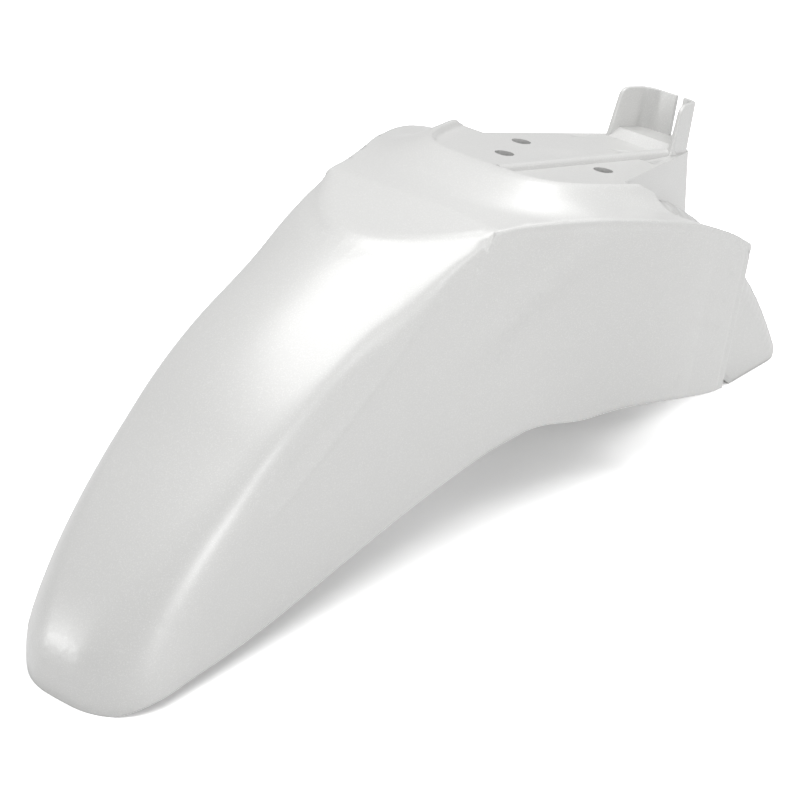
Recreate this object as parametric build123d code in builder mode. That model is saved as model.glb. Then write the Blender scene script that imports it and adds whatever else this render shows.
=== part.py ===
from build123d import *

import os
from math import cos, radians, sin, sqrt, tan

# Front mudguard of a scooter, moulded in one piece.
# X runs along its length with the nose at -X, Y across, Z up, and Z = 0 is the surface that it rests on.

# Wall of the moulding
wall = 2.8

# Arch that runs over the wheel, as a section swept round an axis below the floor
axis_x = 8.0
axis_z = -128.0
arch_radius = 344.0
tail_radius = 342.0
arch_depth = 200.0
nose_angle = 14.0
waist_angle = 90.0
waist_overlap = 3.0
tail_angle = 166.0
nose_half_width = 55.0
waist_half_width = 70.0
tail_half_width = 59.0
nose_shoulder = 46.0
waist_shoulder = 24.0
crease_shoulder = 8.0
tail_shoulder = 18.0
nose_crown = 6.0
waist_crown = 18.0
tail_crown = 6.0
nose_swell = 19.0
nose_tip_fall = 51.5
waist_climb = 22.5

# Angles round the wheel's axis, from the front horizontal, over which the nose changes
widening = (32.0, 88.0)
crowning = (25.0, 75.0)
shoulder_tightening = (22.0, 55.0)
crease_tightening = (66.0, 88.0)
swelling = (51.5, 24.5)
tip_rounding = (28.0, nose_angle)
climbing = (66.0, waist_angle)

# Side wings that cover the fork legs
wing_front_x = -60.0
wing_rear_x = 188.0
wing_half_width = 124.0
wing_root_inset = 3.0
wing_spread_x = (-35.0, 150.0)
wing_lean_x = (-20.0, 100.0)
wing_draft = 0.155
wing_rear_flare = 0.12
wing_root_x = -12.0
wing_root_taper = 0.10
wing_corner = 10.0

# Shield, the flatter panel on top, with its crease and its rise to the rim
shield_front_x = -69.0
shield_saddle_x = -8.0
shield_saddle_z = 215.0
shield_front_slope = 0.022
shield_side_slope = 0.10
shield_side_droop = 5.7e-6
shield_hollow = 0.0005
shield_hollow_half_width = 90.0
shield_front_rise = 45.0
shield_side_rise = 20.0
shield_rise_blend = 45.0

# Deck, the sunk plate that bolts to the fork bridge
deck_tilt = 13.5
deck_datum_x = 137.0
deck_datum_z = 196.0
rim_height = 5.0
rim_width = 4.0
rim_front_x = 57.0
rim_rear_x = 130.0
rim_half_width = 77.0
rim_squareness = 4.6
deck_rear_x = 250.0
deck_rear_half_width = 21.5
deck_side_half_width = 58.5
deck_side_x = 130.0
deck_rear_corner = 10.0

# Fork leg recess between the box under the deck and the wing
recess_front_x = 128.0
recess_corner = 24.0
recess_band = 6.0
recess_rear_band = 10.0

# Holes, rib, step and collar on the deck
bolt_spacing = 69.0
bolt_hole = 13.0
front_hole_x = 99.5
front_hole_y = 17.5
rib_start_x = 58.0
rib_start_y = -11.0
rib_end_y = -23.0
rib_radius = 4.0
step_height = 6.0
step_run = 8.0
collar_length = 32.0
collar_half_width = 27.5
collar_height = 34.0
collar_lean = 6.0
collar_wall = 3.0
collar_edge = 7.0
collar_lip = 0.9
collar_inset = 1.0
slit_width = 6.0
slit_y = -7.0

# Lower edge in side view
edge_front_x = -218.0
edge_front_z = 16.0
edge_top_x = 16.0
edge_top_z = 67.0
edge_rear_z = 41.0

# Reach of the cutting bodies beyond the mudguard
far = 400.0


def ease(share):
    """Slow start and slow end between 0 and 1."""
    t = min(max(share, 0.0), 1.0)
    return t * t * (3.0 - 2.0 * t)


def ramp(x, start, end):
    return min(max((x - start) / (end - start), 0.0), 1.0)


def mix(a, b, t):
    return a + (b - a) * t


# Arch


def arch_section(angle, half_width, crown, shoulder, top, inset):
    """Section of the arch: flanks, round shoulders and a crowned top, on a plane through the wheel's axis."""
    half = half_width - inset
    crest = top - inset
    side = crest - crown
    low = arch_radius - arch_depth - inset
    turn = radians(angle)
    plane = Plane((axis_x, 0, axis_z), x_dir=(0, 1, 0), z_dir=(sin(turn), 0, cos(turn)))
    with BuildSketch(plane) as profile:
        with BuildLine():
            Polyline((-half, side), (-half, low), (half, low), (half, side))
            ThreePointArc((half, side), (0, crest), (-half, side))
        make_face()
        fillet(profile.vertices().group_by(Axis.Y)[-1], shoulder - inset)
    return profile.sketch


def nose_section(angle, inset):
    """The nose swells towards its rounded tip, and climbs to the shield with a sharper shoulder."""
    half_width = mix(nose_half_width, waist_half_width, ramp(angle, *widening))
    crown = mix(nose_crown, waist_crown, ease(ramp(angle, *crowning)))
    shoulder = mix(nose_shoulder, waist_shoulder, ease(ramp(angle, *shoulder_tightening)))
    shoulder = mix(shoulder, crease_shoulder, ease(ramp(angle, *crease_tightening)))
    top = arch_radius + nose_swell * ease(ramp(angle, *swelling))
    top += waist_climb * ramp(angle, *climbing) ** 2 - nose_tip_fall * ramp(angle, *tip_rounding) ** 2
    return arch_section(angle, half_width, crown, shoulder, top, inset)


def nose_body(inset):
    stations = 11
    with BuildPart() as body:
        for i in range(stations):
            add(nose_section(mix(nose_angle, waist_angle + waist_overlap, i / (stations - 1)), inset))
        loft()
    return body.part


def tail_body(inset):
    """The tail keeps one section, turned about the wheel's axis."""
    start = waist_angle - waist_overlap
    with BuildPart() as body:
        add(arch_section(start, tail_half_width, tail_crown, tail_shoulder, tail_radius, inset))
        revolve(axis=Axis((axis_x, 0, axis_z), (0, 1, 0)), revolution_arc=tail_angle - start)
    return body.part


# Wings


def wing_half_width_at(x):
    """Half width of the wing flanks at the height of the shield's saddle."""
    root = waist_half_width - wing_root_inset
    taper = wing_root_taper * min(0.0, x - wing_root_x)
    flare = wing_rear_flare * max(0.0, x - wing_spread_x[1])
    return mix(root, wing_half_width, ease(ramp(x, *wing_spread_x))) + taper + flare


def wing_lean_at(x):
    return wing_draft * ease(ramp(x, *wing_lean_x))


def wing_body(inset):
    """Both wings as one body over the full width, with leaning flanks and a rounded rear corner."""
    stations = 11
    low = 10.0
    front_top = 135.0
    rear_top = shield_saddle_z + 25.0
    with BuildPart() as body:
        for i in range(stations):
            x = mix(wing_front_x, wing_rear_x + 2.0, i / (stations - 1))
            level = wing_half_width_at(x) - inset
            lean = wing_lean_at(x)
            top = mix(front_top, rear_top, ease(ramp(x, wing_front_x - 20.0, wing_front_x + 80.0))) - inset
            upper = level + lean * (top - shield_saddle_z)
            lower = level - lean * (shield_saddle_z - low)
            with BuildSketch(Plane((x, 0, 0), x_dir=(0, 1, 0), z_dir=(1, 0, 0))):
                Polygon((-lower, low), (lower, low), (upper, top), (-upper, top), align=None)
        loft()
        with BuildSketch(Plane.XZ) as side_outline:
            corner_z = shield_level(wing_rear_x)
            run = 150.0
            crest_z = corner_z + run * shield_slope(wing_rear_x)
            Polygon(
                (-far, -far),
                (wing_rear_x, -far),
                (wing_rear_x, corner_z),
                (wing_rear_x - run, crest_z),
                (-far, crest_z),
                align=None,
            )
            corner = side_outline.vertices().sort_by_distance((wing_rear_x, corner_z))[0]
            fillet(corner, wing_corner)
        extrude(amount=far, both=True, mode=Mode.INTERSECT)
    return body.part


# Shield


def shield_level(x):
    """Height of the shield along its side arms, where it meets the flanks."""
    back = max(0.0, x - shield_saddle_x)
    front = min(0.0, x - shield_saddle_x)
    fall = shield_side_slope * back + shield_side_droop * back**3
    return shield_saddle_z + shield_front_slope * front - fall


def shield_slope(x):
    """How steeply the shield's side arms fall to the rear."""
    back = max(0.0, x - shield_saddle_x)
    return shield_side_slope + 3.0 * shield_side_droop * back**2


def rim_level(x):
    return deck_level(x) + rim_height


def deck_level(x):
    return deck_datum_z - tan(radians(deck_tilt)) * (x - deck_datum_x)


def rim_bow(share, grow):
    """Plan point of the rim: a wide bow in front that runs back along both sides."""
    front = rim_front_x - grow
    return front + (rim_rear_x - front) * abs(share) ** rim_squareness, (rim_half_width + grow) * share


def rim_outline():
    """Plan points along the rim, from behind one of its ends to behind the other."""
    bow = [rim_bow(i / 24, 0.0) for i in range(-24, 25)]
    return [(far, -rim_half_width)] + bow + [(far, rim_half_width)]


def rim_distance(x, y, outline):
    """Distance of a plan point outside the rim, or less than zero inside it."""
    gap = far
    for (ax, ay), (bx, by) in zip(outline, outline[1:]):
        dx = bx - ax
        dy = by - ay
        along = max(0.0, min(1.0, ((x - ax) * dx + (y - ay) * dy) / (dx**2 + dy**2)))
        gap = min(gap, sqrt((x - ax - along * dx) ** 2 + (y - ay - along * dy) ** 2))
    share = min(abs(y) / rim_half_width, 1.0)
    inside = x > rim_front_x + (rim_rear_x - rim_front_x) * share**rim_squareness and abs(y) < rim_half_width
    return -gap if inside else gap


def shield_height(x, y, outline):
    """Height of the shield: a hollow panel that rises in a curve to the rim of the deck."""
    middle = max(0.0, 1.0 - (y / shield_hollow_half_width) ** 2) ** 2
    level = shield_level(x) + shield_hollow * max(0.0, x - shield_front_x) ** 2 * middle
    gap = max(rim_distance(x, y, outline) - rim_width, -3.0 * rim_width)
    to_side = ease(ramp(x, rim_front_x, rim_front_x + shield_rise_blend))
    rise = max(0.0, 1.0 - gap / mix(shield_front_rise, shield_side_rise, to_side)) ** 2
    return level + (rim_level(x) - level) * rise


def above_shield(inset):
    """Everything over the shield, to be cut away."""
    outline = rim_outline()
    stations = 20
    top = shield_saddle_z + 105.0
    edge = wing_half_width + 36.0
    half_row = (0, 16, 32, 46, 58, 69, 80, 92, 108, 130)
    row = [-edge] + [-y for y in half_row[:0:-1]] + list(half_row) + [edge]
    with BuildPart() as body:
        for i in range(stations):
            x = mix(shield_front_x - 16.0, wing_rear_x + 12.0, i / (stations - 1))
            with BuildSketch(Plane((x, 0, 0), x_dir=(0, 1, 0), z_dir=(1, 0, 0))):
                with BuildLine():
                    curve = Spline([(y, shield_height(x, y, outline) - inset) for y in row])
                    Polyline(curve @ 1, (edge, top), (-edge, top), curve @ 0)
                make_face()
        loft()
    return body.part


def deck_plane(raised):
    """Plane of the deck, raised along its own normal, with its X down the slope to the rear."""
    tilt = radians(deck_tilt)
    origin = (deck_datum_x + raised * sin(tilt), 0, deck_datum_z + raised * cos(tilt))
    return Plane(origin, x_dir=(cos(tilt), 0, -sin(tilt)), z_dir=(sin(tilt), 0, cos(tilt)))


def above_rim(inset):
    """Everything over the flat top of the rim, to be cut away."""
    with BuildPart() as body:
        with BuildSketch(deck_plane(rim_height - inset)):
            Rectangle(far, far)
        extrude(amount=far)
    return body.part


def rim_recess(grow):
    """Plan of the sunk deck inside the rim, run out past the front of the fork leg recess."""
    end_x = recess_front_x + 32.0
    half = rim_half_width + grow
    with BuildSketch(Plane.XY) as plan:
        with BuildLine():
            shares = (-1, -0.88, -0.74, -0.55, -0.3, 0, 0.3, 0.55, 0.74, 0.88, 1)
            bow = Spline([rim_bow(share, grow) for share in shares])
            Polyline(bow @ 1, (end_x, half), (end_x, -half), bow @ 0)
        make_face()
    return plan.sketch


def over_deck(raised, grow):
    """Space over the sunk deck, inside the rim."""
    with BuildPart() as body:
        extrude(rim_recess(grow), amount=far)
        plane = deck_plane(raised)
        split(bisect_by=plane, keep=Keep.TOP)
    return body.part


# Box under the deck


def box_half_width_at(x):
    """Half width of the box, which narrows to the rear with the deck's sides."""
    taper = (deck_side_half_width - deck_rear_half_width) / (deck_rear_x - deck_side_x)
    return deck_side_half_width - taper * (x - deck_side_x)


def box_outline(inset, front_x):
    front = box_half_width_at(front_x) - inset
    rear = deck_rear_half_width - inset
    rear_x = deck_rear_x - inset
    with BuildSketch(Plane.XY) as plan:
        Polygon((front_x, -front), (rear_x, -rear), (rear_x, rear), (front_x, front), align=None)
        fillet(plan.vertices().group_by(Axis.X)[-1], deck_rear_corner - inset)
    return plan.sketch


def box_body(inset):
    with BuildPart() as body:
        extrude(box_outline(inset, deck_side_x - 18.0), amount=far)
        split(bisect_by=deck_plane(-inset), keep=Keep.BOTTOM)
    return body.part


# Fork leg recess


def leg_recess(grow, band):
    """Plan prism of the fork leg recess on both sides; band narrows it to leave the wing's top flange."""
    front_x = recess_front_x - grow
    wide = wing_half_width_at(recess_front_x) - band if band else far
    rear_wide = wing_half_width_at(wing_rear_x) - recess_rear_band if band else far
    rear_x = wing_rear_x + 50.0
    with BuildPart() as body:
        with BuildSketch(Plane.XY.offset(-far)) as plan:
            Polygon((front_x, -wide), (rear_x, -rear_wide), (rear_x, rear_wide), (front_x, wide), align=None)
            if band:
                fillet(plan.vertices().group_by(Axis.X)[0], recess_corner)
        extrude(amount=2 * far)
    return body.part


# Lower edge


def below_edge():
    """Everything under the lower edge, as seen from the side."""

    def climb(share):
        return mix(edge_front_z, edge_top_z, share)

    def drop(share):
        return mix(edge_top_z, edge_rear_z, share)

    rear = wing_rear_x
    with BuildPart() as body:
        with BuildSketch(Plane.XZ):
            with BuildLine():
                rise = Spline(
                    (edge_front_x - 92, 0),
                    (edge_front_x - 57, edge_front_z - 6),
                    (edge_front_x - 29, edge_front_z - 3.5),
                    (edge_front_x, edge_front_z),
                    (mix(edge_front_x, edge_top_x, 0.35), climb(0.38)),
                    (mix(edge_front_x, edge_top_x, 0.72), climb(0.81)),
                    (edge_top_x, edge_top_z),
                )
                fall = Spline(
                    rise @ 1,
                    (edge_top_x + 24, drop(0.12)),
                    (edge_top_x + 50, drop(0.37)),
                    (edge_top_x + 80, drop(0.40)),
                    (rear - 25, drop(0.92)),
                    (rear - 8, drop(1.04)),
                    (rear + 8, edge_rear_z),
                )
                toe = Line((rear + 26, edge_rear_z), (rear + 69, 0))
                Line(fall @ 1, toe @ 0)
                Polyline(toe @ 1, (far, 0), (far, -far), (-far, -far), (-far, 0), rise @ 0)
            make_face()
        extrude(amount=far, both=True)
    return body.part


# Rib, step and collar on the deck


def on_deck(x):
    """Distance down the slope of the deck for a length coordinate."""
    return (x - deck_datum_x) / cos(radians(deck_tilt))


def deck_side_plane():
    """Plane of the deck's side view, with its X down the slope and its Y along the normal."""
    deck = deck_plane(0.0)
    return Plane(deck.origin, x_dir=deck.x_dir, z_dir=(0, -1, 0))


def rib_body():
    """Round rib that runs askew over the deck, from the rim to the collar."""
    deck = deck_plane(0.0)
    start = deck.from_local_coords(Vector(on_deck(rib_start_x), rib_start_y, 0))
    end = deck.from_local_coords(Vector(on_deck(deck_rear_x - collar_length + step_run), rib_end_y, 0))
    with BuildPart() as body:
        with BuildSketch(Plane(start, z_dir=end - start)):
            Circle(rib_radius)
        extrude(amount=(end - start).length)
        split(bisect_by=deck_plane(-wall / 5), keep=Keep.TOP)
    return body.part


def collar_outline(inset):
    """Plan of the collar on the deck, a U that is open to the front."""
    front = on_deck(deck_rear_x - collar_length)
    rear = on_deck(deck_rear_x - collar_inset - inset)
    front_half = collar_half_width - inset
    rear_half = deck_rear_half_width - inset
    with BuildSketch(deck_plane(0.0)) as plan:
        Polygon((front, -front_half), (rear, -rear_half), (rear, rear_half), (front, front_half), align=None)
        fillet(plan.vertices().group_by(Axis.X)[-1], deck_rear_corner - inset)
    return plan.sketch


def step_body():
    """Raised floor of the collar, with a sloped front."""
    foot = on_deck(deck_rear_x - collar_length)
    bite = 0.5
    with BuildPart() as body:
        extrude(collar_outline(bite), amount=step_height)
        with BuildSketch(deck_side_plane()):
            Polygon((foot, 0), (foot + step_run, step_height), (foot, step_height), align=None)
        extrude(amount=far, both=True, mode=Mode.SUBTRACT)
    return body.part


def collar_body():
    """Collar round the deck's rear end, with a rounded lip, a leaning front and a slit in its rear wall."""
    foot = on_deck(deck_rear_x - collar_length)
    rear = on_deck(deck_rear_x + deck_rear_corner)
    with BuildPart() as body:
        extrude(collar_outline(0.0), amount=collar_height)
        extrude(collar_outline(collar_wall), amount=collar_height, mode=Mode.SUBTRACT)
        with BuildSketch(deck_side_plane()) as side:
            Polygon(
                (foot, 0),
                (rear, 0),
                (rear, collar_height),
                (foot + collar_lean, collar_height),
                align=None,
            )
            fillet(side.vertices().sort_by_distance((foot + collar_lean, collar_height))[0], collar_edge)
        extrude(amount=far, both=True, mode=Mode.INTERSECT)
        top = body.faces().sort_by(Axis.Z).filter_by(deck_plane(0.0))[-1]
        fillet(top.edges(), collar_lip)
        with BuildSketch(deck_plane(step_height)):
            with Locations((rear, slit_y)):
                Rectangle(4 * deck_rear_corner, slit_width)
        extrude(amount=far, mode=Mode.SUBTRACT)
    return body.part


# Mudguard

recess_front = Plane.YZ.offset(recess_front_x)

with BuildPart() as front_over:
    add(above_shield(0.0))
    split(bisect_by=recess_front, keep=Keep.BOTTOM)

with BuildPart() as rear_over:
    add(above_shield(0.0))
    split(bisect_by=recess_front, keep=Keep.TOP)

with BuildPart() as front_under:
    add(above_shield(wall))
    split(bisect_by=recess_front, keep=Keep.BOTTOM)

with BuildPart() as hollow:
    add(wing_body(wall))
    add(leg_recess(wall, 0.0), mode=Mode.SUBTRACT)
    add(nose_body(wall))
    add(tail_body(wall))
    add(front_under.part, mode=Mode.SUBTRACT)
    add(above_rim(wall), mode=Mode.SUBTRACT)
    add(over_deck(-wall, wall), mode=Mode.SUBTRACT)
    add(box_body(wall))

with BuildPart() as leg_space:
    add(wing_body(wall))
    add(above_shield(wall), mode=Mode.SUBTRACT)
    add(leg_recess(0.0, 0.0), mode=Mode.INTERSECT)

mouth_bite = 1.0

with BuildPart() as leg_mouth:
    add(leg_recess(0.0, recess_band))
    add(above_shield(wall + mouth_bite), mode=Mode.INTERSECT)

with BuildPart() as mudguard:
    add(wing_body(0.0))
    add(rear_over.part, mode=Mode.SUBTRACT)
    add(leg_space.part, mode=Mode.SUBTRACT)
    add(leg_mouth.part, mode=Mode.SUBTRACT)
    add(nose_body(0.0))
    add(tail_body(0.0))
    add(front_over.part, mode=Mode.SUBTRACT)
    add(above_rim(0.0), mode=Mode.SUBTRACT)
    add(over_deck(0.0, 0.0), mode=Mode.SUBTRACT)
    add(box_body(0.0))
    add(hollow.part, mode=Mode.SUBTRACT)
    add(below_edge(), mode=Mode.SUBTRACT)
    add(rib_body())
    add(collar_body())
    add(step_body())
    with Locations(deck_plane(0.0)):
        with Locations((0, -bolt_spacing / 2), (0, bolt_spacing / 2), (on_deck(front_hole_x), front_hole_y)):
            Hole(bolt_hole / 2, depth=4 * wall)

mudguard.part.label = "mudguard"

os.makedirs("parts", exist_ok=True)
export_step(mudguard.part, "parts/mudguard.step")
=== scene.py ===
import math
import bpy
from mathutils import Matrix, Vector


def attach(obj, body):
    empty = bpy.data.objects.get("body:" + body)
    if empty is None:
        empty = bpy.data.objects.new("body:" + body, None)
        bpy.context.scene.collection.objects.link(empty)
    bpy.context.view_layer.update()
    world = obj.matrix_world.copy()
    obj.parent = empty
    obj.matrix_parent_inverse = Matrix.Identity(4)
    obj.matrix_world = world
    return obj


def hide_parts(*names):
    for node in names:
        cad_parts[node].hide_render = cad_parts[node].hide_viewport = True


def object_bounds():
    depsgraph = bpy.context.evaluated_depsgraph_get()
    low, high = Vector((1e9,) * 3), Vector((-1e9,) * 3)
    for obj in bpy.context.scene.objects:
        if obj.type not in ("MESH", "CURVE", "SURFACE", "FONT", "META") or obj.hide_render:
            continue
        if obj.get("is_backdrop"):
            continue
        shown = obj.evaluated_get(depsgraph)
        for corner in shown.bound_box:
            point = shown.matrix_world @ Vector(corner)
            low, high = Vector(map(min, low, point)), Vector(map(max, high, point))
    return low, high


bl_info = {
    "name": "Front Mudguard",
    "version": (1, 0, 0),
    "blender": (4, 5, 0),
    "location": "View3D > Sidebar > Mudguard",
    "description": "Dresses the packed front mudguard in pearl white paint, on a plain studio floor",
    "category": "Object",
}

import bmesh
import bpy
import numpy as np
from mathutils import Vector
from mathutils.kdtree import KDTree

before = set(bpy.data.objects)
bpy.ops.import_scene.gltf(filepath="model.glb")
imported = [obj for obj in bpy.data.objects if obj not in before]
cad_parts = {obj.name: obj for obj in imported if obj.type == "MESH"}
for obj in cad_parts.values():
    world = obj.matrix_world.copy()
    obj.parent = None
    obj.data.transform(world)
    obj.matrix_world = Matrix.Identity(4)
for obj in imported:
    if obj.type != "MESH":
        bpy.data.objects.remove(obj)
cad_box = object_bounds()

NODE = "mudguard"
PIECE = "painted_mudguard"
MM = 0.001

# Camera of the photograph, aimed at a point on the mudguard
VIEW_AZIMUTH = math.radians(48.06)
VIEW_ELEVATION = math.radians(28.64)
VIEW_DISTANCE = 1.9106
VIEW_TARGET = Vector((-0.021, 0.0, 0.07847))
VIEW_LENS = 135.0

# Soft lights: name, place, size and power
LIGHT_AIM = Vector((-0.05, 0.0, 0.12))
SOFTBOXES = (
    ("overhead_softbox", (0.0, -0.25, 1.9), (1.2, 2.0), 20.0),
    ("crown_softbox", (0.0, 0.75, 1.75), (0.7, 0.4), 2.5),
    ("shield_softbox", (1.1, 0.5, 1.5), (0.3, 0.25), 3.0),
    ("near_softbox", (-0.5, -1.75, 0.4), (0.08, 0.5), 4.5),
    ("crease_softbox", (0.4, -1.5, 0.9), (0.15, 0.3), 1.5),
    ("far_softbox", (-1.66, 1.21, 0.2), (0.12, 0.7), 5.5),
)

# Arch in millimetres and degrees, with the same driving sizes as in the part
AXIS_X, AXIS_Z = 8.0, -128.0
ARCH_RADIUS, TAIL_RADIUS = 344.0, 342.0
NOSE_ANGLE, WAIST_ANGLE, HIDDEN_WAIST = 14.0, 90.0, 10.0
NOSE_HALF, WAIST_HALF, TAIL_HALF = 55.0, 70.0, 59.0
NOSE_SHOULDER, WAIST_SHOULDER, CREASE_SHOULDER, TAIL_SHOULDER = 46.0, 24.0, 8.0, 18.0
NOSE_CROWN, WAIST_CROWN, TAIL_CROWN = 6.0, 18.0, 6.0
NOSE_SWELL, NOSE_TIP_FALL, WAIST_CLIMB = 19.0, 51.5, 22.5

# Angles round the wheel's axis, from the front horizontal, over which the nose changes
WIDENING, CROWNING = (32.0, 88.0), (25.0, 75.0)
SHOULDER_TIGHTENING, CREASE_TIGHTENING = (22.0, 55.0), (66.0, 88.0)
SWELLING, TIP_ROUNDING, CLIMBING = (51.5, 24.5), (28.0, NOSE_ANGLE), (66.0, WAIST_ANGLE)

# Side wings
WING_FRONT_X, WING_REAR_X, WING_OVERRUN, WING_CORNER = -60.0, 188.0, 2.0, 13.0
WING_HALF, WING_ROOT_INSET, WING_DRAFT = 124.0, 3.0, 0.155
WING_ROOT_X, WING_ROOT_TAPER, WING_REAR_FLARE = -12.0, 0.10, 0.12
WING_SPREAD_X, WING_LEAN_X = (-35.0, 150.0), (-20.0, 100.0)
WING_TOP_X, WING_TOPS_Z = (-80.0, 20.0), (135.0, 240.0)

# Shield, deck and rim
SHIELD_FRONT_X, SADDLE_X, SHIELD_SADDLE_Z = -69.0, -8.0, 215.0
SHIELD_FRONT_SLOPE, SHIELD_SIDE_SLOPE, SHIELD_SIDE_DROOP = 0.022, 0.10, 5.7e-6
SHIELD_HOLLOW, SHIELD_HOLLOW_HALF = 0.0005, 90.0
SHIELD_FRONT_RISE, SHIELD_SIDE_RISE, SHIELD_RISE_BLEND = 45.0, 20.0, 45.0
DECK_TILT = math.radians(13.5)
DECK_X, DECK_Z = 137.0, 196.0
RIM_HEIGHT, RIM_WIDTH = 5.0, 4.0
RIM_FRONT_X, RIM_REAR_X, RIM_HALF, RIM_SQUARENESS = 57.0, 130.0, 77.0, 4.6
FAR = 1000.0

# Folds of the flank in side view: middle, slope in degrees, half length and how far they sag
SHOULDER_FOLD = (-128.0, 142.4), 35.1, 83.0, 2.8
BAND_FOLD = (1.0, 169.6), 30.9, 59.5, 3.6
REAR_FOLD = (108.9, 118.2), 58.9, 65.3, -8.0

# Relief of the folds: height, offset above the fold and width, and where along the fold it fades
RIDGE_HEIGHT, RIDGE_WIDTH = 0.7, 3.5
HOLLOW_DEPTH, HOLLOW_OFFSET, HOLLOW_WIDTH = 1.6, 16.0, 11.0
SHOULDER_FADE = 1.25, 0.7
BAND_HEIGHT, BAND_OFFSET, BAND_WIDTH = 2.1, -11.0, 11.0
BAND_FADE_IN, BAND_FADE_OUT = (-1.3, 0.2), (1.4, 0.8)
STEP_HEIGHT, STEP_WIDTH = 2.1, 11.0
LIP_DEPTH, LIP_INSET, LIP_WIDTH = 0.45, 7.0, 1.8
GROOVE_DEPTH, GROOVE_DROP, GROOVE_WIDTH = 0.6, 4.0, 3.0

# Softening of the skin: rounding of valleys and of folds, and how far a point may be off or move
SOFT_MERGE, MERGE_X = 8.0, (-60.0, -25.0)
SOFT_CREASE, SUNK_SOFTNESS = 3.0, 1.5
SKIN_REACH, SKIN_ALIGNMENT, SLIVER_SHARE = 2.4, 0.5, 0.01
MOST_MOVE, BORDER_BAND = 2.2, 5.0
RIDGE_REACH, LIP_REACH = 8.0, 7.0
WELD_DISTANCE = 0.01 * MM
BORDER_ANGLE = math.radians(8.0)


def ease(share):
    t = np.clip(share, 0.0, 1.0)
    return t * t * (3.0 - 2.0 * t)


def ramp(x, start, end):
    return np.clip((x - start) / (end - start), 0.0, 1.0)


def mix(a, b, t):
    return a + (b - a) * t


def unit(vectors):
    return vectors / np.maximum(np.linalg.norm(vectors, axis=1, keepdims=True), 1e-9)


def soft_max(a, b, width):
    """The larger of two distances, with their crease rounded over a width."""
    if np.ndim(width) == 0 and not width:
        return np.maximum(a, b)
    blend = np.clip(0.5 + 0.5 * (a - b) / width, 0.0, 1.0)
    return mix(b, a, blend) + width * blend * (1.0 - blend)


def soft_min(a, b, width):
    return -soft_max(-a, -b, width)


def round_max(a, b, radius):
    """The larger of two distances, with their corner as an arc."""
    arc = np.hypot(np.maximum(a + radius, 0.0), np.maximum(b + radius, 0.0)) - radius
    return arc + np.minimum(np.maximum(a, b) + radius, 0.0)


# Distances to the outer surfaces, for points as rows of x, y, z in millimetres


def arch_distance(points):
    """Nose and tail: a rounded section that runs round the wheel's axis."""
    across, up = points[:, 0] - AXIS_X, points[:, 2] - AXIS_Z
    radius = np.hypot(across, up)
    angle = np.degrees(np.arctan2(up, -across))
    nose = angle < WAIST_ANGLE + HIDDEN_WAIST
    half = np.where(nose, mix(NOSE_HALF, WAIST_HALF, ramp(angle, *WIDENING)), TAIL_HALF)
    crown = np.where(nose, mix(NOSE_CROWN, WAIST_CROWN, ease(ramp(angle, *CROWNING))), TAIL_CROWN)
    shoulder = mix(NOSE_SHOULDER, WAIST_SHOULDER, ease(ramp(angle, *SHOULDER_TIGHTENING)))
    shoulder = mix(shoulder, CREASE_SHOULDER, ease(ramp(angle, *CREASE_TIGHTENING)))
    shoulder = np.where(nose, shoulder, TAIL_SHOULDER)
    top = ARCH_RADIUS + NOSE_SWELL * ease(ramp(angle, *SWELLING))
    top += WAIST_CLIMB * ramp(angle, *CLIMBING) ** 2 - NOSE_TIP_FALL * ramp(angle, *TIP_ROUNDING) ** 2
    top = np.where(nose, top, TAIL_RADIUS)
    bend = (half**2 + crown**2) / (2.0 * crown)
    centre = top - bend
    y = np.abs(points[:, 1])
    turn_y = half - shoulder
    turn_r = centre + np.sqrt(np.maximum((bend - shoulder) ** 2 - turn_y**2, 0.0))
    crest = np.hypot(y, radius - centre) - bend
    corner = np.hypot(y - turn_y, radius - turn_r) - shoulder
    beyond = (radius > turn_r) & (y * (turn_r - centre) > turn_y * (radius - centre))
    return np.where(beyond, corner, np.maximum(y - half, crest))


def wing_distance(points):
    """Flanks of the side wings, which spread and lean outwards to the rear."""
    x, y, z = points.T
    top = mix(*WING_TOPS_Z, ease(ramp(x, *WING_TOP_X)))
    level = mix(WAIST_HALF - WING_ROOT_INSET, WING_HALF, ease(ramp(x, *WING_SPREAD_X)))
    level += WING_ROOT_TAPER * np.minimum(0.0, x - WING_ROOT_X)
    level += WING_REAR_FLARE * np.maximum(0.0, x - WING_SPREAD_X[1])
    lean = WING_DRAFT * ease(ramp(x, *WING_LEAN_X))
    flank = np.maximum(np.abs(y) - level + lean * (SHIELD_SADDLE_Z - z), z - top)
    return np.where((x > WING_FRONT_X) & (x < WING_REAR_X + 1.0), flank, FAR)


def rim_gap(x, y):
    """Distance of plan points outside the rim, or less than zero inside it."""
    stations = 41
    block = 4000
    reach = 60.0
    share = np.linspace(0.0, 1.0, stations)
    line_x = np.append(RIM_FRONT_X + (RIM_REAR_X - RIM_FRONT_X) * share**RIM_SQUARENESS, FAR)
    line_y = np.append(RIM_HALF * share, RIM_HALF)
    run_x, run_y = np.diff(line_x), np.diff(line_y)
    gap = np.full(len(x), FAR)
    near = np.flatnonzero(x > RIM_FRONT_X - reach)
    for start in range(0, len(near), block):
        some = near[start : start + block]
        off_x, off_y = x[some, None] - line_x[:-1], np.abs(y[some, None]) - line_y[:-1]
        along = np.clip((off_x * run_x + off_y * run_y) / (run_x**2 + run_y**2), 0.0, 1.0)
        gap[some] = np.hypot(off_x - along * run_x, off_y - along * run_y).min(axis=1)
    side = np.minimum(np.abs(y) / RIM_HALF, 1.0)
    bow = RIM_FRONT_X + (RIM_REAR_X - RIM_FRONT_X) * side**RIM_SQUARENESS
    return np.where((x > bow) & (np.abs(y) < RIM_HALF), -gap, gap)


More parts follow.
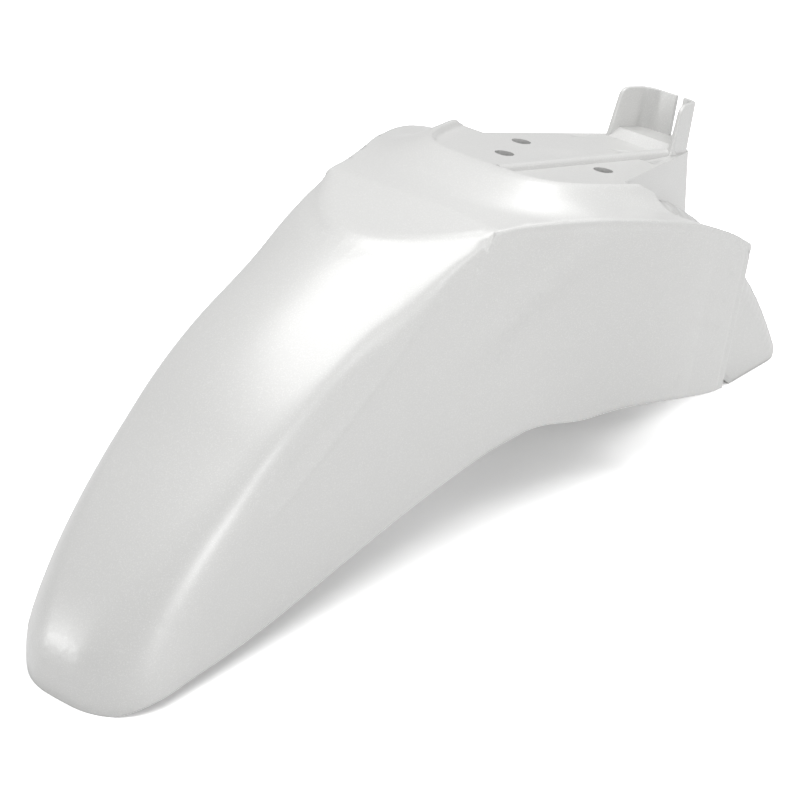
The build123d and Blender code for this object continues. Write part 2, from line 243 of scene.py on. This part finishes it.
def shield_distance(points, gap):
    """The hollow top panel, which rises in a curve to the rim."""
    x, y, z = points.T
    back, ahead = np.maximum(0.0, x - SADDLE_X), np.minimum(0.0, x - SADDLE_X)
    fall = SHIELD_SIDE_SLOPE * back + SHIELD_SIDE_DROOP * back**3
    level = SHIELD_SADDLE_Z + SHIELD_FRONT_SLOPE * ahead - fall
    middle = np.maximum(0.0, 1.0 - (y / SHIELD_HOLLOW_HALF) ** 2) ** 2
    level += SHIELD_HOLLOW * np.maximum(0.0, x - SHIELD_FRONT_X) ** 2 * middle
    to_side = ease(ramp(x, RIM_FRONT_X, RIM_FRONT_X + SHIELD_RISE_BLEND))
    width = mix(SHIELD_FRONT_RISE, SHIELD_SIDE_RISE, to_side)
    rise = np.maximum(0.0, 1.0 - np.maximum(gap - RIM_WIDTH, -3.0 * RIM_WIDTH) / width) ** 2
    rim = DECK_Z + RIM_HEIGHT - math.tan(DECK_TILT) * (x - DECK_X)
    return z - level - (rim - level) * rise


def over_deck(points):
    """Height over the sunk deck, along its own normal."""
    along, up = points[:, 0] - DECK_X, points[:, 2] - DECK_Z
    return along * math.sin(DECK_TILT) + up * math.cos(DECK_TILT)


def fold_gap(points, fold):
    """Distance above a nearly straight fold of the flank in side view, and the place along it."""
    (x, z), angle, half_length, bow = fold
    turn = math.radians(angle)
    across, up = points[:, 0] - x, points[:, 2] - z
    along = (across * math.cos(turn) + up * math.sin(turn)) / half_length
    return up * math.cos(turn) - across * math.sin(turn) + bow * (1.0 - along**2), along


def bell(gap, width):
    return np.exp(-((gap / width) ** 2))


def flank_relief(points):
    """Height in millimetres of the soft folds that run down the flanks."""
    gap, along = fold_gap(points, SHOULDER_FOLD)
    fold = RIDGE_HEIGHT * bell(gap, RIDGE_WIDTH) - HOLLOW_DEPTH * bell(gap - HOLLOW_OFFSET, HOLLOW_WIDTH)
    relief = fold * ease(ramp(np.abs(along), *SHOULDER_FADE))
    gap, along = fold_gap(points, BAND_FOLD)
    fade = ease(ramp(along, *BAND_FADE_IN)) * ease(ramp(along, *BAND_FADE_OUT))
    relief += BAND_HEIGHT * fade * bell(gap - BAND_OFFSET, BAND_WIDTH)
    gap, along = fold_gap(points, REAR_FOLD)
    relief += STEP_HEIGHT * (1.0 - np.exp(np.minimum(gap, 0.0) / STEP_WIDTH))
    return relief - LIP_DEPTH * bell(points[:, 0] - WING_REAR_X + LIP_INSET, LIP_WIDTH)


def outer_distance(points, merge=0.0, crease=0.0):
    """Distance to the moulding's outer side; merge rounds its valleys, and crease its folds."""
    relief = flank_relief(points) if crease else 0.0
    width = np.maximum(merge * ease(ramp(points[:, 0], *MERGE_X)), 1e-6)
    gap = rim_gap(points[:, 0], points[:, 1])
    deck = over_deck(points)
    shield = shield_distance(points, gap)
    if crease:
        relief -= GROOVE_DEPTH * bell(shield + GROOVE_DROP, GROOVE_WIDTH)
    body = soft_min(arch_distance(points), wing_distance(points), width) - relief
    rear = points[:, 0] - WING_REAR_X
    cornered = (rear < WING_OVERRUN) & (np.abs(points[:, 1]) > RIM_HALF + RIM_WIDTH)
    shield = np.where(cornered, round_max(shield, rear, WING_CORNER), shield)
    top = soft_max(shield, deck - RIM_HEIGHT, crease)
    sunk = soft_min(-gap, deck, SUNK_SOFTNESS * crease)
    return soft_max(soft_max(body, top, crease), sunk, crease)


def slope_of(distance, points, step=0.25):
    """Unit vectors up the slope of a distance."""
    slope = np.empty_like(points)
    for axis in range(3):
        shift = np.zeros(3)
        shift[axis] = step
        slope[:, axis] = distance(points + shift) - distance(points - shift)
    return unit(slope)


# Building the painted skin over the CAD mesh


def hard_skin(points):
    return outer_distance(points)


def soft_skin(points):
    return outer_distance(points, SOFT_MERGE, SOFT_CREASE)


def wanted_spacing(points, longest, finest):
    """Longest edge that the shape bears at each place: short on folds, long elsewhere."""
    hard = hard_skin(points)
    folded = np.abs(outer_distance(points, 0.0, SOFT_CREASE) - hard) > 0.02
    lined = np.abs(fold_gap(points, SHOULDER_FOLD)[0]) < RIDGE_REACH
    lined |= np.abs(points[:, 0] - WING_REAR_X + LIP_INSET) < LIP_REACH
    spacing = np.where(lined, 2.0 * finest, longest)
    spacing = np.where(folded, finest, spacing)
    return np.where(np.abs(hard) < SKIN_REACH, spacing, longest)


def refine(bm, longest, finest):
    """Splits the mesh's long edges, so that no triangle is wider than the shape bears."""
    rounds = 7
    for _ in range(rounds):
        edges = [e for e in bm.edges if any(f.material_index for f in e.link_faces)]
        ends = np.array([[*e.verts[0].co, *e.verts[1].co] for e in edges]) / MM
        lengths = np.linalg.norm(ends[:, :3] - ends[:, 3:], axis=1)
        middles = (ends[:, :3] + ends[:, 3:]) / 2.0
        too_long = lengths > wanted_spacing(middles, longest / MM, finest / MM)
        if not too_long.any():
            break
        long_edges = [e for e, is_long in zip(edges, too_long) if is_long]
        bmesh.ops.subdivide_edges(bm, edges=long_edges, cuts=1)
        wide = [f for f in bm.faces if len(f.verts) > 3]
        bmesh.ops.triangulate(bm, faces=wide, quad_method="SHORT_EDGE", ngon_method="BEAUTY")


def mark_skin(bm):
    """Gives the faces on the outer side their own material index, told by place and by direction."""
    bm.normal_update()
    centres = np.array([f.calc_center_median() for f in bm.faces]) / MM
    normals = np.array([f.normal for f in bm.faces])
    near = np.abs(hard_skin(centres)) < SKIN_REACH
    aligned = (slope_of(soft_skin, centres) * normals).sum(axis=1) > SKIN_ALIGNMENT
    longest = np.array([max(e.calc_length() for e in f.edges) for f in bm.faces])
    thin = np.array([f.calc_area() for f in bm.faces]) < SLIVER_SHARE * longest**2
    for face, is_skin in zip(bm.faces, near & (aligned | thin)):
        face.material_index = int(is_skin)


def settle(mesh, outer):
    """Moves the outer skin's points onto the smooth shape and gives them its normals."""
    points = np.empty(len(mesh.vertices) * 3)
    mesh.vertices.foreach_get("co", points)
    points = points.reshape(-1, 3) / MM
    corners = np.empty(len(mesh.loops), dtype=np.int64)
    mesh.loops.foreach_get("vertex_index", corners)
    corner_outer = np.repeat(outer, 3)
    skin = np.unique(corners[corner_outer])
    start = points[skin]
    border = KDTree(len(points))
    for index in np.unique(corners[~corner_outer]):
        border.insert(points[index], int(index))
    border.balance()
    from_border = np.array([border.find(point)[2] for point in start])
    share = ease(from_border / BORDER_BAND)[:, None]
    passes = 2
    for _ in range(passes):
        gap = np.clip(soft_skin(points[skin]), -MOST_MOVE, MOST_MOVE)
        points[skin] -= slope_of(soft_skin, points[skin]) * gap[:, None]
    moves = points[skin] - start
    reach = np.maximum(np.linalg.norm(moves, axis=1, keepdims=True), 1e-9)
    low, high = np.array(cad_box) / MM
    points[skin] = np.clip(start + moves * np.minimum(share, MOST_MOVE / reach), low, high)
    mesh.vertices.foreach_set("co", (points * MM).ravel())
    mesh.update()
    sides = np.empty(len(mesh.polygons) * 3)
    mesh.polygons.foreach_get("normal", sides)
    areas = np.empty(len(mesh.polygons))
    mesh.polygons.foreach_get("area", areas)
    sides = np.repeat(sides.reshape(-1, 3) * areas[:, None], 3, axis=0)
    normals = np.zeros((len(points), 3))
    np.add.at(normals, corners[corner_outer], sides[corner_outer])
    smooth = slope_of(soft_skin, points[skin])
    normals[skin] = unit(mix(unit(normals[skin]), smooth, share))
    return np.where(corner_outer[:, None], normals[corners], 0.0)


def mark_sharp(mesh, outer, angle):
    """Keeps the fold between two faces that meet at more than the angle, or that part skin from inside."""
    bm = bmesh.new()
    bm.from_mesh(mesh)
    bm.faces.ensure_lookup_table()
    for edge in bm.edges:
        if len(edge.link_faces) != 2:
            continue
        a, b = (f.index for f in edge.link_faces)
        if outer[a] and outer[b]:
            edge.smooth = True
        elif outer[a] != outer[b]:
            edge.smooth = edge.calc_face_angle(0.0) < BORDER_ANGLE
        else:
            edge.smooth = edge.calc_face_angle(0.0) < angle
    for face in bm.faces:
        face.smooth = True
    bm.to_mesh(mesh)
    bm.free()


# Materials


def new_material(name):
    material = bpy.data.materials.new(name)
    material.use_nodes = True
    tree = material.node_tree
    tree.nodes.clear()
    return material, tree


def link(tree, source, target):
    tree.links.new(source, target)


def flake_group():
    """Pearl flakes: a mask of bright grains and a height of fine paint texture."""
    group = bpy.data.node_groups.new("Pearl Flakes", "ShaderNodeTree")
    group.interface.new_socket("Grain Scale", in_out="INPUT", socket_type="NodeSocketFloat")
    group.interface.new_socket("Wave Scale", in_out="INPUT", socket_type="NodeSocketFloat")
    group.interface.new_socket("Sparkle", in_out="OUTPUT", socket_type="NodeSocketFloat")
    group.interface.new_socket("Height", in_out="OUTPUT", socket_type="NodeSocketFloat")
    nodes = group.nodes
    given = nodes.new("NodeGroupInput")
    out = nodes.new("NodeGroupOutput")
    place = nodes.new("ShaderNodeTexCoord")
    grains = nodes.new("ShaderNodeTexVoronoi")
    grains.feature = "F1"
    bright = nodes.new("ShaderNodeMapRange")
    bright.inputs["From Min"].default_value = 0.72
    bright.inputs["From Max"].default_value = 1.0
    split = nodes.new("ShaderNodeSeparateColor")
    waves = nodes.new("ShaderNodeTexNoise")
    waves.inputs["Detail"].default_value = 2.0
    link(group, place.outputs["Object"], grains.inputs["Vector"])
    link(group, given.outputs["Grain Scale"], grains.inputs["Scale"])
    link(group, grains.outputs["Color"], split.inputs["Color"])
    link(group, split.outputs["Red"], bright.inputs["Value"])
    link(group, bright.outputs["Result"], out.inputs["Sparkle"])
    link(group, place.outputs["Object"], waves.inputs["Vector"])
    link(group, given.outputs["Wave Scale"], waves.inputs["Scale"])
    link(group, waves.outputs["Fac"], out.inputs["Height"])
    return group


def pearl_paint(look):
    """White pearl base with fine bright flakes, under a glossy clear coat."""
    material, tree = new_material("pearl_white_paint")
    nodes = tree.nodes
    out = nodes.new("ShaderNodeOutputMaterial")
    shader = nodes.new("ShaderNodeBsdfPrincipled")
    shader.inputs["Metallic"].default_value = look.metallic
    shader.inputs["Roughness"].default_value = look.base_roughness
    shader.inputs["Coat Weight"].default_value = look.coat
    shader.inputs["Coat Roughness"].default_value = look.coat_roughness
    shader.inputs["Coat IOR"].default_value = 1.5
    flakes = nodes.new("ShaderNodeGroup")
    flakes.node_tree = bpy.data.node_groups["Pearl Flakes"]
    flakes.inputs["Grain Scale"].default_value = look.grain_scale
    flakes.inputs["Wave Scale"].default_value = look.wave_scale
    tint = nodes.new("ShaderNodeMix")
    tint.data_type = "RGBA"
    tint.inputs["A"].default_value = (*look.base_color, 1.0)
    tint.inputs["B"].default_value = (*look.flake_color, 1.0)
    bump = nodes.new("ShaderNodeBump")
    bump.inputs["Strength"].default_value = look.wave_strength
    bump.inputs["Distance"].default_value = 0.0002
    link(tree, flakes.outputs["Sparkle"], tint.inputs["Factor"])
    link(tree, tint.outputs["Result"], shader.inputs["Base Color"])
    link(tree, flakes.outputs["Height"], bump.inputs["Height"])
    link(tree, bump.outputs["Normal"], shader.inputs["Normal"])
    link(tree, shader.outputs["BSDF"], out.inputs["Surface"])
    return material


def floor_material(look):
    """Pale matt floor, lit up to white for the camera; in reflections it is white, and its shadow stays."""
    material, tree = new_material("studio_floor")
    nodes = tree.nodes
    out = nodes.new("ShaderNodeOutputMaterial")
    matt = nodes.new("ShaderNodeBsdfDiffuse")
    path = nodes.new("ShaderNodeLightPath")
    level = look.floor_level
    for ray, seen in (
        ("Is Transmission Ray", look.floor_mirrored),
        ("Is Glossy Ray", look.floor_mirrored),
        ("Is Camera Ray", look.floor_seen),
    ):
        choice = nodes.new("ShaderNodeMix")
        choice.inputs["B"].default_value = seen
        link(tree, path.outputs[ray], choice.inputs["Factor"])
        if isinstance(level, float):
            choice.inputs["A"].default_value = level
        else:
            link(tree, level, choice.inputs["A"])
        level = choice.outputs["Result"]
    link(tree, level, matt.inputs["Color"])
    link(tree, matt.outputs["BSDF"], out.inputs["Surface"])
    return material


def studio_world(look):
    """Even white room: full white to the camera, dimmer as a light."""
    world = bpy.data.worlds.new("studio_world")
    bpy.context.scene.world = world
    world.use_nodes = True
    tree = world.node_tree
    tree.nodes.clear()
    nodes = tree.nodes
    out = nodes.new("ShaderNodeOutputWorld")
    room = nodes.new("ShaderNodeBackground")
    room.inputs["Color"].default_value = (1.0, 1.0, 1.0, 1.0)
    path = nodes.new("ShaderNodeLightPath")
    level = nodes.new("ShaderNodeMix")
    level.inputs["A"].default_value = look.room_light
    level.inputs["B"].default_value = 1.0
    link(tree, path.outputs["Is Camera Ray"], level.inputs["Factor"])
    link(tree, level.outputs["Result"], room.inputs["Strength"])
    link(tree, room.outputs["Background"], out.inputs["Surface"])


def softbox(name, place, size, power):
    lamp = bpy.data.lights.new(name, "AREA")
    lamp.shape = "RECTANGLE"
    lamp.size, lamp.size_y = size
    lamp.energy = power
    holder = bpy.data.objects.new(name, lamp)
    bpy.context.scene.collection.objects.link(holder)
    holder.location = Vector(place)
    holder.rotation_euler = (LIGHT_AIM - Vector(place)).to_track_quat("-Z", "Y").to_euler()
    return holder


class PaintLook(bpy.types.PropertyGroup):
    base_color: bpy.props.FloatVectorProperty(
        name="Base colour",
        description="Colour of the white base coat",
        subtype="COLOR",
        size=3,
        min=0.0,
        max=1.0,
        default=(0.66, 0.66, 0.65),
    )
    flake_color: bpy.props.FloatVectorProperty(
        name="Flake colour",
        description="Colour of the pearl flakes",
        subtype="COLOR",
        size=3,
        min=0.0,
        max=1.0,
        default=(0.74, 0.74, 0.73),
    )
    metallic: bpy.props.FloatProperty(
        name="Metallic",
        description="Share of light that the flakes mirror",
        min=0.0,
        max=1.0,
        default=0.1,
    )
    base_roughness: bpy.props.FloatProperty(
        name="Base roughness",
        description="Spread of the soft highlight under the coat",
        min=0.0,
        max=1.0,
        default=0.42,
    )
    coat: bpy.props.FloatProperty(
        name="Clear coat",
        description="Weight of the clear coat",
        min=0.0,
        max=1.0,
        default=1.0,
    )
    coat_roughness: bpy.props.FloatProperty(
        name="Coat roughness",
        description="Spread of the sharp highlight on the coat",
        min=0.0,
        max=1.0,
        default=0.3,
    )
    grain_scale: bpy.props.FloatProperty(
        name="Flake density",
        description="Flakes per metre",
        min=1.0,
        default=2200.0,
    )
    wave_scale: bpy.props.FloatProperty(
        name="Wave density",
        description="Waves per metre of the paint's fine texture",
        min=1.0,
        default=420.0,
    )
    wave_strength: bpy.props.FloatProperty(
        name="Wave strength",
        description="Strength of the paint's fine texture",
        min=0.0,
        max=1.0,
        default=0.04,
    )
    longest_edge: bpy.props.FloatProperty(
        name="Longest edge",
        description="Longest edge of the painted skin's mesh",
        min=0.001,
        default=0.006,
        unit="LENGTH",
    )
    finest_edge: bpy.props.FloatProperty(
        name="Finest edge",
        description="Longest edge of the skin's mesh on its folds",
        min=0.0005,
        default=0.0015,
        unit="LENGTH",
    )
    fold_angle: bpy.props.FloatProperty(
        name="Fold angle",
        description="Faces that meet at more than this angle keep a sharp fold",
        min=0.0,
        max=math.pi,
        default=math.radians(28.0),
        subtype="ANGLE",
    )


class StudioLook(bpy.types.PropertyGroup):
    floor_level: bpy.props.FloatProperty(
        name="Floor",
        description="Lightness of the matt floor",
        min=0.0,
        max=1.0,
        default=0.75,
    )
    floor_mirrored: bpy.props.FloatProperty(
        name="Floor in reflections",
        description="Level of the floor in reflections",
        min=0.0,
        default=0.85,
    )
    floor_seen: bpy.props.FloatProperty(
        name="Floor as seen",
        description="Level of the floor as the camera sees it, so that it reads as white",
        min=0.0,
        default=1.95,
    )
    room_light: bpy.props.FloatProperty(
        name="Room light",
        description="Level of the even light from the room",
        min=0.0,
        default=0.54,
    )
    floor_size: bpy.props.FloatProperty(
        name="Floor size",
        description="Width of the floor",
        min=1.0,
        default=12.0,
        unit="LENGTH",
    )


class MUDGUARD_OT_shell(bpy.types.Operator):
    """Lays the smooth painted skin over the moulded mudguard"""

    bl_idname = "mudguard.shell"
    bl_label = "Painted Mudguard"

    def execute(self, context):
        look = context.scene.mudguard_paint
        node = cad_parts[NODE]
        mesh = node.data.copy()
        mesh.name = PIECE
        bm = bmesh.new()
        bm.from_mesh(mesh)
        bmesh.ops.remove_doubles(bm, verts=bm.verts, dist=WELD_DISTANCE)
        mark_skin(bm)
        refine(bm, look.longest_edge, look.finest_edge)
        bm.to_mesh(mesh)
        bm.free()
        outer = np.array([face.material_index == 1 for face in mesh.polygons])
        if not outer.any():
            raise RuntimeError("no face of the mudguard lies on its outer shape")
        corner_normals = settle(mesh, outer)
        mark_sharp(mesh, outer, look.fold_angle)
        mesh.normals_split_custom_set(corner_normals.tolist())
        flake_group()
        mesh.materials.clear()
        mesh.materials.append(pearl_paint(look))
        piece = bpy.data.objects.new(PIECE, mesh)
        context.scene.collection.objects.link(piece)
        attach(piece, "root")
        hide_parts(NODE)
        return {"FINISHED"}


class MUDGUARD_OT_studio(bpy.types.Operator):
    """Sets up the floor, the soft lights and the camera"""

    bl_idname = "mudguard.studio"
    bl_label = "Studio"

    def execute(self, context):
        look = context.scene.mudguard_studio
        context.scene.view_settings.view_transform = "Standard"
        half = look.floor_size / 2.0
        mesh = bpy.data.meshes.new("floor")
        corners = [(-half, -half, 0.0), (half, -half, 0.0), (half, half, 0.0), (-half, half, 0.0)]
        mesh.from_pydata(corners, [], [(0, 1, 2, 3)])
        floor = bpy.data.objects.new("floor", mesh)
        context.scene.collection.objects.link(floor)
        mesh.materials.append(floor_material(look))
        floor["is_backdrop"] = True
        studio_world(look)
        for name, place, size, power in SOFTBOXES:
            softbox(name, place, size, power)
        aim_camera(context)
        return {"FINISHED"}


def aim_camera(context):
    camera = bpy.data.cameras.new("photo_camera")
    camera.lens = VIEW_LENS
    camera.sensor_width = 36.0
    camera.clip_start, camera.clip_end = 0.05, 50.0
    holder = bpy.data.objects.new("photo_camera", camera)
    context.scene.collection.objects.link(holder)
    flat = math.cos(VIEW_ELEVATION)
    side, forward = flat * math.sin(VIEW_AZIMUTH), flat * math.cos(VIEW_AZIMUTH)
    ahead = Vector((side, forward, -math.sin(VIEW_ELEVATION)))
    holder.location = VIEW_TARGET - ahead * VIEW_DISTANCE
    holder.rotation_euler = ahead.to_track_quat("-Z", "Y").to_euler()
    context.scene.camera = holder


class MUDGUARD_PT_panel(bpy.types.Panel):
    """Lists the mudguard's operators and settings"""

    bl_idname = "MUDGUARD_PT_panel"
    bl_label = "Mudguard"
    bl_space_type = "VIEW_3D"
    bl_region_type = "UI"
    bl_category = "Mudguard"

    def draw(self, context):
        layout = self.layout
        for look in (context.scene.mudguard_paint, context.scene.mudguard_studio):
            box = layout.box()
            for name in look.__annotations__:
                box.prop(look, name)
        layout.operator(MUDGUARD_OT_shell.bl_idname)
        layout.operator(MUDGUARD_OT_studio.bl_idname)


CLASSES = (PaintLook, StudioLook, MUDGUARD_OT_shell, MUDGUARD_OT_studio, MUDGUARD_PT_panel)


def register():
    for cls in CLASSES:
        bpy.utils.register_class(cls)
    bpy.types.Scene.mudguard_paint = bpy.props.PointerProperty(type=PaintLook)
    bpy.types.Scene.mudguard_studio = bpy.props.PointerProperty(type=StudioLook)


def unregister():
    del bpy.types.Scene.mudguard_studio
    del bpy.types.Scene.mudguard_paint
    for cls in reversed(CLASSES):
        bpy.utils.unregister_class(cls)


def main():
    register()
    bpy.ops.mudguard.shell()
    bpy.ops.mudguard.studio()
    boxes = {"cad": cad_box, "visual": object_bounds()}
    boxes = {name: [list(corner) for corner in box] for name, box in boxes.items()}


if __name__ == "__main__":
    main()
